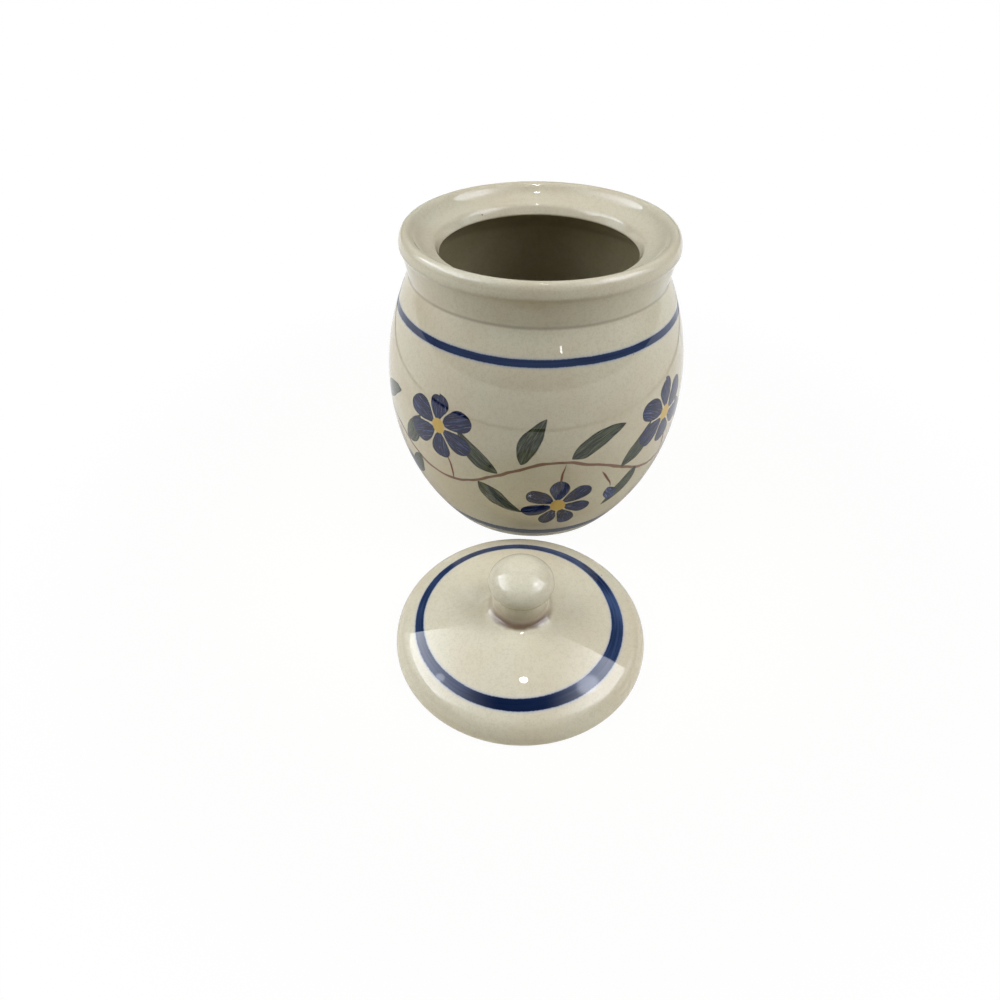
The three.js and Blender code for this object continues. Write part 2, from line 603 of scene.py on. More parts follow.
    def _blossom(self) -> NodeTree:
        """A daisy of single-stroke petals round a dotted heart.

        Returns:
            The group.
        """
        maker = GroupMaker(
            "DaisyBlossom",
            {Port.VECTOR: ("Place",), Port.VALUE: ("Along", "Up", "Radius", "Petals", "Turn")},
            {Port.VALUE: ("Paint", "Streak", "Rim", "Heart")},
        )
        bench = maker.bench
        place, along, up, radius, petals, turn = maker.given
        x, y = bench.beside(place, along, up)
        spread = bench.length(x, y)
        bearing = bench.math("ADD", bench.math("ARCTAN2", y, x), turn)
        sectors = bench.over(bench.times(bearing, petals), math.tau)
        number = bench.math("ROUND", sectors)
        wedge = bench.over(math.tau, petals)
        swing = bench.times(bench.minus(sectors, number), wedge)
        which = bench.join(bench.math("FLOORED_MODULO", number, petals), along)
        chance = bench.node("ShaderNodeTexWhiteNoise", noise_dimensions="2D")
        bench.feed(chance.inputs["Vector"], which)
        luck = chance.outputs["Value"]
        reach = bench.times(radius, bench.line(luck, 0.22, 0.82))
        side = bench.times(spread, bench.math("SINE", swing))
        share = bench.over(bench.times(spread, bench.math("COSINE", swing)), reach)
        share = bench.over(bench.minus(share, self.petal_middle), self.petal_half)
        widest = bench.math("TANGENT", bench.times(wedge, 0.5))
        widest = bench.times(bench.times(reach, 0.5), widest)
        hair = bench.join(bench.times(share, 0.8), bench.times(side, 1.5), bench.times(luck, 9.0))
        heart = bench.minus(bench.times(radius, self.petal_heart), spread)
        return maker.give(
            Streak=bench.ease(bench.cloud(hair, 1.4, 3.0, 0.65), 0.46, 0.84),
            Heart=bench.ease(heart, -0.15, self.paint_edge),
            **self._press(bench, share, side, 0.55, 0.42, widest, (0.15, 0.06)),
        )

    @staticmethod
    def _vine() -> NodeTree:
        """A thin waving stem that runs right round.

        Returns:
            The group.
        """
        maker = GroupMaker(
            "WavingVine",
            {Port.VECTOR: ("Place",), Port.VALUE: ("Middle", "Swing", "Period", "Half Width")},
            {Port.VALUE: ("Paint",)},
        )
        bench = maker.bench
        place, middle, swing, period, half_width = maker.given
        x, y, _ = bench.split(place)
        phase = bench.over(bench.times(x, math.tau), period)
        stem = bench.line(bench.math("COSINE", phase), swing, middle)
        gap = bench.math("ABSOLUTE", bench.minus(y, stem))
        half = bench.times(half_width, bench.math("ADD", bench.cloud(place, 0.09, 1.0), 0.5))
        return maker.give(Paint=bench.ease(bench.minus(half, gap), -0.18, 0.18))

    @staticmethod
    def _pigment() -> NodeTree:
        """Lays brushed colour over what is below: streaked inside, pooled darker at its rim.

        Returns:
            The group.
        """
        maker = GroupMaker(
            "BrushedPigment",
            {Port.COLOUR: ("Under", "Dark", "Pale"), Port.VALUE: ("Paint", "Streak", "Rim")},
            {Port.COLOUR: ("Color",)},
        )
        bench = maker.bench
        under, dark, pale, paint, streak, rim = maker.given
        thin = bench.math("MAXIMUM", bench.line(rim, -0.6, streak), 0.0)
        cover = bench.times(paint, bench.line(thin, -0.1, 1.0))
        return maker.give(Color=bench.blend(cover, under, bench.blend(thin, dark, pale)))


@dataclass(frozen=True)
class StonewareGlaze:
    """A glossy grey-beige glaze over a speckled clay."""

    pale: Colour = rgb(210, 204, 179)
    warm: Colour = rgb(206, 195, 168)
    grain: Colour = rgb(162, 150, 120)
    iron: Colour = rgb(70, 52, 38)
    cloud_reach: Point = (0.3, 0.75)
    grain_share: float = 0.22
    speck_share: float = 0.8
    roughness: float = 0.01
    smear: float = 0.04
    ior: float = 1.5
    peel_depth: float = 0.003


@dataclass(frozen=True)
class BareClay:
    """Unglazed buff stoneware, wiped clean where a piece stands in the kiln."""

    buff: Colour = rgb(190, 165, 132)
    toast: Colour = rgb(150, 116, 84)
    speck_share: float = 0.7
    roughness: float = 0.85
    unevenness: float = 0.1
    tooth_depth: float = 0.06


@dataclass(frozen=True)
class Pigments:
    """The painter's colours, under the glaze, and how a stripe of them spreads."""

    cobalt: Colour = rgb(42, 52, 80)
    cobalt_deep: Colour = rgb(9, 24, 54)
    cobalt_wash: Colour = rgb(60, 78, 114)
    petal: Colour = rgb(10, 18, 54)
    petal_wash: Colour = rgb(84, 108, 172)
    cobalt_bleed: Colour = rgb(150, 164, 192)
    leaf: Colour = rgb(26, 36, 24)
    leaf_wash: Colour = rgb(72, 84, 54)
    twig: Colour = rgb(112, 62, 34)
    ochre: Colour = rgb(206, 172, 84)
    # Painted shade: a darker brown laid along the crease under the neck.
    pooled: Colour = rgb(104, 92, 68)
    wander: float = 0.5
    blur: float = 0.3
    halo_share: float = 0.65


class Finish:
    """A material with a principled shader, whose colour is laid on coat by coat."""

    def __init__(self, name: str, effects: GlazeEffects, ground: Colour) -> None:
        """Makes the material, with its place in millimetres and its speckle.

        Args:
            name: The material's name.
            effects: The shared node groups.
            ground: The first colour.
        """
        self.material = bpy.data.materials.new(name)
        self.bench = NodeBench.cleared(self.material)
        self.shader = self.bench.node("ShaderNodeBsdfPrincipled")
        self.bench.node("ShaderNodeOutputMaterial", {"Surface": self.shader.outputs[0]})
        self.place = self.bench.scaled(self.bench.where(), 1.0 / MM)
        self.speckle = self.bench.place(effects.speckle, place=self.place)
        self.colour: Feed = ground

    def lay(self, share: Feed, colour: Feed) -> None:
        """Lays a share of a colour over what is there."""
        self.colour = self.bench.blend(share, self.colour, colour)

    def close(self, roughness: Feed, height: Feed, depth: float) -> Material:
        """Gives the shader its colour, its roughness and a relief.

        Args:
            roughness: The roughness.
            height: The relief's height map.
            depth: Its depth in millimetres.

        Returns:
            The finished material.
        """
        bump = self.bench.node("ShaderNodeBump", {"Distance": depth * MM, "Strength": 1.0, "Height": height})
        feeds = {"Base Color": self.colour, "Roughness": roughness, "Normal": bump.outputs["Normal"]}
        for label, value in feeds.items():
            self.bench.feed(self.shader.inputs[label], value)
        return self.material


class Dresser:
    """Makes the finishes of the fired pieces."""

    def __init__(self) -> None:
        """Builds the shared effects and the plain finishes."""
        self.effects = GlazeEffects()
        self.glaze = StonewareGlaze()
        self.clay = BareClay()
        self.inks = Pigments()
        # The inside glaze is made darker than the outside, as painted shade in the jar's hollow.
        liner = StonewareGlaze(
            pale=rgb(168, 159, 129), warm=rgb(158, 147, 116), grain=rgb(122, 110, 83)
        )
        self.plain = self._gloss(self.start("glaze_plain", self.glaze))
        self.liner = self._gloss(self.start("glaze_inside_shade", liner))
        self.bare = self._bare_clay()

    def start(self, name: str, glaze: StonewareGlaze) -> Finish:
        """Starts a finish as a glaze with no paint on it.

        Args:
            name: The finish's name.
            glaze: The glaze.

        Returns:
            The finish, ready for paint.
        """
        finish = Finish(name, self.effects, glaze.pale)
        bench, speckle = finish.bench, finish.speckle
        finish.lay(bench.ease(speckle["Cloud"], *glaze.cloud_reach), glaze.warm)
        finish.lay(bench.times(speckle["Grain"], glaze.grain_share), glaze.grain)
        finish.lay(bench.times(speckle["Specks"], glaze.speck_share), glaze.iron)
        return finish

    def _gloss(self, finish: Finish) -> Material:
        """Ends a finish with the glaze's gloss and its slight orange peel.

        Args:
            finish: The finish.

        Returns:
            Its material.
        """
        glaze, speckle = self.glaze, finish.speckle
        finish.bench.feed(finish.shader.inputs["IOR"], glaze.ior)
        smear = finish.bench.line(speckle["Cloud"], glaze.smear, glaze.roughness)
        return finish.close(smear, speckle["Peel"], glaze.peel_depth)

    def _bare_clay(self) -> Material:
        """Makes the unglazed clay of the standing faces.

        Returns:
            Its material.
        """
        clay = self.clay
        finish = Finish("bare_clay", self.effects, clay.buff)
        bench, speckle = finish.bench, finish.speckle
        finish.lay(speckle["Cloud"], clay.toast)
        finish.lay(bench.times(speckle["Specks"], clay.speck_share), self.glaze.iron)
        roughness = bench.line(speckle["Grain"], clay.unevenness, clay.roughness)
        return finish.close(roughness, speckle["Grain"], clay.tooth_depth)

    def band(
        self, finish: Finish, across: Feed, edges: tuple[Feed, Feed], ink: Colour, wash: Feed
    ) -> None:
        """Paints a cobalt stripe.

        Args:
            finish: The finish that it goes into.
            across: The measure that the stripe keeps to, in millimetres.
            edges: Where the stripe starts and ends.
            ink: The full colour.
            wash: How far the thin places show through.
        """
        bench, inks = finish.bench, self.inks
        stripe = bench.place(
            self.effects.band,
            place=finish.place,
            across=across,
            low=edges[0],
            high=edges[1],
            wander=inks.wander,
            blur=inks.blur,
        )
        finish.lay(bench.times(stripe["Halo"], inks.halo_share), inks.cobalt_bleed)
        laid = bench.blend(bench.times(stripe["Density"], wash), ink, inks.cobalt_wash)
        finish.lay(stripe["Paint"], laid)

    def mark(
        self, finish: Finish, mark: Outputs, dark: Colour, pale: Colour
    ) -> None:
        """Lays one brush mark's colour over what is below.

        Args:
            finish: The finish that it goes into.
            mark: The mark's outputs, with its paint, streak and rim.
            dark: The full colour.
            pale: The thinned colour.
        """
        print_of = {label.lower(): mark[label] for label in ("Paint", "Streak", "Rim")}
        laid = finish.bench.place(
            self.effects.pigment, under=finish.colour, dark=dark, pale=pale, **print_of
        )
        finish.colour = laid["Color"]

    def dress(self, piece: Object, painted: Finish) -> None:
        """Gives a turned piece its painted, plain, bare and inside-shade materials, in the order of Skin;
        the last is a darker glaze that paints the shade inside.
        """
        for material in (self._gloss(painted), self.plain, self.bare, self.liner):
            piece.data.materials.append(material)


@dataclass(frozen=True)
class Leaf:
    """A single brush stroke of the garland, placed in one repeat of it, in millimetres."""

    along: float
    up: float
    tilt: float
    half_length: float
    half_width: float
    bow: float


@dataclass(frozen=True)
class Daisy:
    """A blossom of the garland, placed in one repeat of it, in millimetres."""

    along: float
    up: float
    radius: float
    petals: float
    turn: float


@dataclass(frozen=True)
class Garland:
    """A waving vine with daisies, buds and leaves, repeated round the belly."""

    repeats: int = 4
    girth: float = 64.0
    start: float = 0.42
    middle: float = 51.0
    swing: float = 9.0
    stem: float = 0.8
    stem_share: float = 0.85
    shake_scale: float = 0.05
    shake: float = 5.0
    taper: float = -0.25
    leaves: tuple[Leaf, ...] = (
        Leaf(-33.0, 61.0, 2.3, 12.0, 4.0, 1.4),
        Leaf(-24.0, 37.5, -0.75, 12.5, 4.1, -1.2),
        Leaf(-11.0, 69.0, 1.15, 11.5, 3.9, 1.2),
        Leaf(15.5, 67.0, 0.5, 12.0, 4.0, 1.4),
        Leaf(29.0, 36.5, -2.2, 12.0, 4.0, 1.2),
        Leaf(34.0, 59.0, 0.95, 11.5, 3.9, -1.2),
    )
    twigs: tuple[Leaf, ...] = (
        Leaf(2.0, 51.0, 1.45, 8.5, 0.6, 0.8),
        Leaf(-47.0, 50.0, 1.75, 9.0, 0.6, -0.8),
        Leaf(20.5, 45.0, -1.1, 7.5, 0.6, 0.7),
    )
    bud: Leaf = Leaf(24.5, 34.0, -1.15, 6.0, 3.2, 0.3)
    low_daisy: Daisy = Daisy(1.0, 33.5, 17.0, 7.0, 0.2)
    high_daisy: Daisy = Daisy(0.0, 67.5, 16.5, 6.0, 0.5)

    def paint(self, dresser: Dresser, finish: Finish, bearing: Feed, height: Feed) -> None:
        """Paints the garland.

        Args:
            dresser: Has the pigments and the shared effects.
            finish: The finish that it goes into.
            bearing: Angle round the jar.
            height: Height on the jar, in millimetres.
        """
        bench, effects, inks = finish.bench, dresser.effects, dresser.inks
        period = math.tau * self.girth / self.repeats
        turn = bench.math("FRACT", bench.line(bearing, self.repeats / math.tau, self.start))
        along = bench.times(bench.minus(turn, 0.5), period)
        feeds = {"Vector": finish.place, "Scale": self.shake_scale}
        drift = bench.split(bench.node("ShaderNodeTexNoise", feeds).outputs["Color"])
        along = bench.line(bench.minus(drift[0], 0.5), self.shake, along)
        up = bench.line(bench.minus(drift[1], 0.5), self.shake, height)
        place = bench.join(along, up)
        vine = bench.place(
            effects.vine,
            place=place,
            middle=self.middle,
            swing=self.swing,
            period=period,
            half_width=self.stem,
        )
        finish.lay(bench.times(vine["Paint"], self.stem_share), inks.twig)

        def stroke(leaf: Leaf) -> Outputs:
            """Outputs of one brush stroke."""
            return bench.place(effects.stroke, place=place, taper=self.taper, **vars(leaf))

        for twig in self.twigs:
            finish.lay(stroke(twig)["Paint"], inks.twig)
        for leaf in self.leaves:
            dresser.mark(finish, stroke(leaf), inks.leaf, inks.leaf_wash)
        dresser.mark(finish, stroke(self.bud), inks.petal, inks.petal_wash)
        # The high daisy lies across the seam of the repeat, so it is painted at both ends.
        ends = [replace(self.high_daisy, along=side * period / 2) for side in (-1, 1)]
        for daisy in (self.low_daisy, *ends):
            flower = bench.place(effects.blossom, place=place, **vars(daisy))
            dresser.mark(finish, flower, inks.petal, inks.petal_wash)
            finish.lay(flower["Heart"], inks.ochre)


@dataclass
class JarBody:
    """The pot: base, belly, neck, lip, lid seat and throat. Sizes in millimetres."""

    name: str = "jar_pot"
    segments: int = 224
    height: float = 129.0
    recess: float = 51.0
    lip_width: float = 5.8
    lip_height: float = 7.5
    lip_shoulder: float = 5.1
    lip_step: float = 1.1
    lip_swell: float = 0.6
    crest_inset: float = 2.95
    crest_fall: float = 1.9
    crest_slope: float = math.radians(60.0)
    seat_depth: float = 6.15
    seat_width: float = 10.4
    seat_slope: float = math.radians(14.0)
    seat_thickness: float = 4.25
    cove_width: float = 4.4
    mouth_draft: float = 2.0
    mouth_round: float = 1.5
    throat_round: Point = (0.7, 0.4)
    neck_rise: float = 17.5
    neck_inset: float = 2.9
    belly_swell: float = 12.6
    belly_height: float = 61.0
    foot_inset: float = 20.2
    foot_chamfer: float = 0.8
    wall: float = 5.0
    base: float = 7.0
    floor_round: float = 9.0
    crease_round: float = 0.8
    tuck: float = 4.0
    # Painted shade along the crease under the neck: its height, half width and share.
    pool_height: float = 111.5
    pool_half: float = 1.0
    pool_share: float = 0.4
    upper_band: Point = (98.6, 101.5)
    upper_wash: float = 0.55
    lower_band: Point = (6.0, 11.5)
    lower_wash: float = 0.2

    @property
    def lip(self) -> float:
        """Distance of the lip's edge from the axis."""
        return self.recess + self.lip_width

    @property
    def under_lip(self) -> Point:
        """The corner where the neck meets the lip."""
        return self.lip - self.lip_step, self.height - self.lip_height

    @property
    def lip_turn(self) -> Point:
        """The corner where the lip's underside turns upright."""
        return self.lip, self.height - self.lip_shoulder - self.lip_swell

    def _neck(self, inset: float) -> Point:
        """The crease below the neck, for a wall set in from the outside."""
        return self.lip - self.neck_inset - inset, self.height - self.neck_rise

    def _belly(self, inset: float) -> tuple[SwellArc, SwellArc]:
        """Makes the arcs of the belly.

        Args:
            inset: How far the wall is set in from the outside.

        Returns:
            The arcs below and above the widest place.
        """
        neck = self._neck(inset)
        widest = (neck[0] + self.belly_swell, self.belly_height)
        foot = (widest[0] - self.foot_inset, 0.0)
        return SwellArc.through(widest, foot), SwellArc.through(widest, neck)

    def _swell(self) -> Point:
        """Point half way from the top of the neck to the lip's widest place."""
        low, high = self.under_lip, self.lip_turn
        return (low[0] + high[0]) / 2, (low[1] + high[1]) / 2

    def _seat(self, radius: float) -> Point:
        """Point on the sloping seat at a distance from the axis."""
        inner = self.recess - self.seat_width + self.mouth_draft
        return radius, self.height - self.seat_depth + (radius - inner) * math.tan(self.seat_slope)

    def _outside(self) -> Outline:
        """Draws the outside.

        Returns:
            The outline from the foot's edge up to the start of the lip.
        """
        neck, under_lip = self._neck(0.0), self.under_lip
        lower, upper = self._belly(0.0)
        foot = neck[0] + self.belly_swell - self.foot_inset
        flare = math.atan2(under_lip[1] - neck[1], under_lip[0] - neck[0])
        wall = upper.points(0.0, upper.end_angle - self.crease_round / upper.radius, 40)
        return [
            (foot - self.foot_chamfer, 0.0),
            *lower.points(lower.angle_at(self.foot_chamfer), 0.0, 44),
            *wall[1:],
            *soft_corner(wall[-1], neck, step_from(neck, flare, self.crease_round), 5)[1:],
            *soft_corner(step_from(under_lip, flare, -self.tuck), under_lip, self._swell(), 8),
        ]

    def _lip(self) -> Outline:
        """Draws the lip.

        Returns:
            The outline over the rounded edge, across the crest, and down the step to the sloping seat.
        """
        crest = self.recess + self.crest_inset
        shoulder = self.height - self.lip_shoulder
        step = (self.recess, self.height - self.crest_fall)
        steep = math.tan(self.crest_slope)
        brow = (self.recess + self.crest_fall / steep, self.height)
        drop = step[1] - self._seat(step[0])[1]
        cove = self._seat(step[0] - drop / (steep - math.tan(self.seat_slope)))
        top = ellipse_arc((crest, shoulder), self.lip - crest, self.lip_shoulder, 0.0, math.pi / 2, 22)
        return [
            *soft_corner(self._swell(), self.lip_turn, (self.lip, shoulder), 8),
            *top[1:],
            *soft_corner((crest, self.height), brow, step, 12)[1:],
            *soft_corner(step, cove, self._seat(self.recess - self.cove_width), 12)[1:],
        ]

    def _throat(self) -> Outline:
        """Draws the throat.

        Returns:
            The outline round the seat's inner edge and down the narrowing throat.
        """
        mouth = self.recess - self.seat_width
        edge = self._seat(mouth + self.mouth_draft)
        lower = (mouth, edge[1] - self.seat_thickness)
        length = math.dist(edge, lower)
        across, down = self.throat_round

        def on_wall(distance: float) -> Point:
            """Point on the throat's wall, by its distance from the edge."""
            share = distance / length
            return edge[0] + (lower[0] - edge[0]) * share, edge[1] + (lower[1] - edge[1]) * share

        return [
            *soft_corner(self._seat(edge[0] + self.mouth_round), edge, on_wall(self.mouth_round), 8),
            *soft_corner(on_wall(length - across), lower, (lower[0] + across, lower[1] - down), 4),
        ]

    def _inside(self, start: Point) -> Outline:
        """Draws the hollow.

        Args:
            start: The point under the seat where it starts.

        Returns:
            The outline down to the centre of the floor.
        """
        lower, upper = self._belly(self.wall)
        flat, turn = lower.angle_at(self.base), lower.angle_at(self.base + self.floor_round)
        corner = step_from(lower.centre, flat, lower.radius)
        bend = step_from(lower.centre, turn, lower.radius)
        return [
            start,
            *upper.points(upper.end_angle, 0.0, 28),
            *lower.points(0.0, turn, 28)[1:],
            *soft_corner(bend, corner, (corner[0] - self.floor_round, self.base), 8)[1:],
            (0.0, self.base),
        ]

    def build(self) -> Object:
        """Turns the pot and sets it on its body.

        Returns:
            The pot's object.
        """
        outside = self._outside()
        lip = [*self._lip(), *self._throat()]
        stretches = [
            Stretch([(0.0, 0.0), outside[0]], Skin.BARE),
            Stretch(outside, Skin.PAINTED),
            Stretch(lip, Skin.PLAIN),
            # The hollow gets the darker glaze, as painted shade inside the jar.
            Stretch(self._inside(lip[-1]), Skin.LINER),
        ]
        return hand_over(Turner(self.segments).turn(self.name, stretches), Body.JAR, "jar_body")

    def dress(self, piece: Object, dresser: Dresser) -> None:
        """Glazes and paints the pot, and paints shade along the crease under the neck.

        Args:
            piece: The pot's object.
            dresser: Makes the finishes.
        """
        finish, inks = dresser.start("glaze_pot", dresser.glaze), dresser.inks
        bench = finish.bench
        x, y, height = bench.split(finish.place)
        bearing = bench.math("ARCTAN2", x, bench.times(y, -1.0))
        Garland().paint(dresser, finish, bearing, height)
        dresser.band(finish, height, self.upper_band, inks.cobalt, self.upper_wash)
        # The lower band gets the deeper ink and less wash than the upper one; part of that darkness is
        # painted shade at the foot.
        dresser.band(finish, height, self.lower_band, inks.cobalt_deep, self.lower_wash)
        # Painted shade: darkens a thin line along the crease under the neck.
        gap = bench.math("ABSOLUTE", bench.minus(height, self.pool_height))
        finish.lay(bench.times(bench.ease(gap, self.pool_half, 0.0), self.pool_share), inks.pooled)
        dresser.dress(piece, finish)


@dataclass
class Lid:
    """The domed lid, hollow below, on its standing ring. Sizes in millimetres."""

    name: str = "lid_dome"
    segments: int = 224
    place: Point = (-7.805, -103.807)
    radius: float = 50.0
    rise: float = 19.0
    shoulder: float = 7.0
    shoulder_round: float = 4.5
    dome_reach: float = 8.0
    wall: float = 4.6
    ring_width: float = 8.0
    ring_draft: float = 0.4
    glaze_line: Point = (0.05, 0.8)
    edge_height: float = 1.5
    edge_round: float = 3.5
    knob_foot: float = 16.7
    ring_outer: Spot = (-0.6, -1.5, 41.2)
    ring_inner: Spot = (-1.3, -1.3, 37.0)
    wash: float = 0.08
    back_wash: float = 0.55
    back_reach: Point = (-40.0, -32.0)
    side_wash: float = 0.5
    side_facing: Point = (0.8, 0.6)
    side_reach: Point = (25.0, 34.0)

    @property
    def across(self) -> float:
        """Half width of the dome's ellipse."""
        return self.radius + self.dome_reach

    @property
    def up(self) -> float:
        """Half height of the dome's ellipse."""
        cosine = self.radius / self.across
        return (self.rise - self.shoulder) / (1 - math.sqrt(1 - cosine * cosine))

    def dome_height(self, radius: float) -> float:
        """Height of the dome at a distance from its axis."""
        return self.rise - self.up + self.up * math.sqrt(1 - (radius / self.across) ** 2)

    def dome_slope(self, radius: float) -> float:
        """Fall of the dome for each step outward at a distance from its axis."""
        share = radius / self.across
        return self.up / self.across * share / math.sqrt(1 - share * share)

    def _dome(self, sink: float, start: float, end: float, steps: int) -> Outline:
        """Draws an arc of the dome.

        Args:
            sink: How far it lies below the top of the dome.
            start: Distance from the axis where it starts.
            end: Distance from the axis where it ends.
            steps: Number of steps.

        Returns:
            The arc's points.
        """
        centre = (0.0, self.rise - self.up - sink)
        first, last = (math.acos(radius / self.across) for radius in (start, end))
        return ellipse_arc(centre, self.across, self.up, first, last, steps)

    def build(self) -> Object:
        """Turns the lid and sets it down where it lies.

        Returns:
            The lid's object.
        """
        hollow = self.radius - self.ring_width
        ring_in = (hollow + self.ring_draft, 0.0)
        ring_out = (self.radius - self.edge_round, 0.0)
        wiped = (ring_in[0] - self.glaze_line[0], self.glaze_line[1])
        start = self.radius - self.shoulder_round
        side = (self.radius, self.edge_height)
        edge = soft_corner(ring_out, (self.radius, 0.0), side, 8)
        turn_down = soft_corner(side, (self.radius, self.shoulder), (start, self.dome_height(start)), 14)
        dome = self._dome(0.0, start, self.knob_foot, 40)
        land = (0.0, self.dome_height(self.knob_foot))
        stretches = [
            Stretch([*self._dome(self.wall, 0.0, hollow, 28), wiped], Skin.PLAIN),
            Stretch([wiped, ring_in, ring_out], Skin.BARE),
            Stretch([*edge, *turn_down[1:], *dome[1:], land], Skin.PAINTED),
        ]
        piece = Turner(self.segments).turn(self.name, stretches, self.place)
        return hand_over(piece, Body.LID, "lid")

    def dress(self, piece: Object, dresser: Dresser) -> None:
        """Glazes the lid and paints its ring, between two circles that aren't quite centred.

        Args:
            piece: The lid's object.
            dresser: Makes the finishes.
        """
        finish = dresser.start("glaze_lid", dresser.glaze)
        bench = finish.bench
        outer, inner = (
            bench.length(*bench.beside(finish.place, *circle[:2]))
            for circle in (self.ring_outer, self.ring_inner)
        )
        low = bench.math("ADD", bench.minus(outer, inner), self.ring_inner[2])
        x, y, _ = bench.split(finish.place)
        wash = bench.line(bench.ease(y, *self.back_reach), self.back_wash, self.wash)
        side = bench.line(x, self.side_facing[0], bench.times(y, self.side_facing[1]))
        wash = bench.line(bench.ease(side, *self.side_reach), self.side_wash, wash)
        dresser.band(finish, outer, (low, self.ring_outer[2]), dresser.inks.cobalt_deep, wash)
        dresser.dress(piece, finish)


@dataclass
class LidKnob:
    """The flattened ball knob on its waisted neck. Sizes in millimetres, heights above the floor."""

    name: str = "lid_ball_knob"
    segments: int = 128
    radius: float = 12.65
    half_height: float = 7.9
    neck: float = 10.5
    neck_height: float = 9.93
    flare: float = 6.2
    flare_rise: float = 3.9
    # The neck's tint and the crevice colour are partly clay through thin glaze and partly painted shade
    # under the head.
    thin: Colour = rgb(150, 120, 92)
    thin_share: float = 0.5
    thin_reach: Point = (27.5, 20.5)
    crevice: Colour = rgb(92, 68, 48)
    crevice_share: float = 0.8
    crevice_reach: Point = (21.6, 19.6)
    foot_reach: Point = (18.6, 19.4)
    wobble: float = 0.6
    # The painted shade is strongest at the front of the neck and keeps this share at the back.
    front_reach: Point = (0.1, 0.9)
    back_share: float = 0.2

    def build(self, lid: Lid) -> Object:
        """Turns the knob and sets it on the lid.

        Args:
            lid: The lid that carries it.

        Returns:
            The knob's object.
        """
        foot = lid.dome_height(lid.knob_foot)
        top = foot + self.neck_height
        start = -math.acos(self.neck / self.radius)
        centre = (0.0, top - self.half_height * math.sin(start))
        rim = (self.neck + self.flare, foot)
        root = (self.neck, foot + self.flare * lid.dome_slope(lid.knob_foot))
        ball = ellipse_arc(centre, self.radius, self.half_height, start, math.pi / 2, 48)
        fillet = soft_corner(rim, root, (self.neck, foot + self.flare_rise), 16)
        stretches = [
            Stretch([(0.0, foot), rim], Skin.BARE),
            Stretch([*fillet, (self.neck, top), *ball[1:]], Skin.PAINTED),
        ]
        piece = Turner(self.segments).turn(self.name, stretches, lid.place)
        return hand_over(piece, Body.LID, "lid_knob")

    def dress(self, piece: Object, dresser: Dresser) -> None:
        """Glazes the knob, thinly round its neck, where the clay shows through, and paints shade under the
        head, strongest at the front.

        Args:
            piece: The knob's object.
            dresser: Makes the finishes.
        """
        finish = dresser.start("glaze_knob", dresser.glaze)
        bench = finish.bench
        _, y, height = bench.split(finish.place)
        height = bench.line(finish.speckle["Peel"], self.wobble, bench.minus(height, self.wobble / 2))
        # Painted shade: the darkening is weighted to the front of the neck, under the head.
        front = bench.ease(bench.over(y, -self.neck), *self.front_reach)
        front = bench.line(front, 1.0 - self.back_share, self.back_share)
        low = bench.times(bench.ease(height, *self.foot_reach), front)
        # Thin glaze on the waist, with painted shade under the head.
        waist = bench.times(bench.ease(height, *self.thin_reach), low)
        finish.lay(bench.times(waist, self.thin_share), self.thin)
        # The crevice at the foot: a thin dark glaze line with painted shade over it.
        line = bench.times(bench.ease(height, *self.crevice_reach), low)
        finish.lay(bench.times(line, self.crevice_share), self.crevice)
        dresser.dress(piece, finish)


@dataclass(frozen=True)
class Lamp:
    """A lamp that makes a bright spot, aimed at a place or straight down. Metres and watts."""

    name: str
    shape: LampShape
    place: Spot
    size: Point
    power: float
    aim: Spot | None = None


@dataclass(frozen=True)
class HotSpot:
    """A brighter oval on a panel, where its lamp is. Sizes in metres."""

    radiance: float
    place: Point
    half: Point
    reach: Point = (1.0, 0.2)


@dataclass(frozen=True)
class GlowPanel:
    """A glowing cloth that fades along the axes, where white paper in full light is 1. Sizes in metres."""

    name: str
    corners: tuple[Spot, ...]
    radiance: float
    fade_y: Point
    left_over: float = 0.0
    fade_x: Point | None = None
    fade_z: Point | None = None
    hot: HotSpot | None = None
    tint: Colour = (0.97, 1.0, 1.08, 1.0)


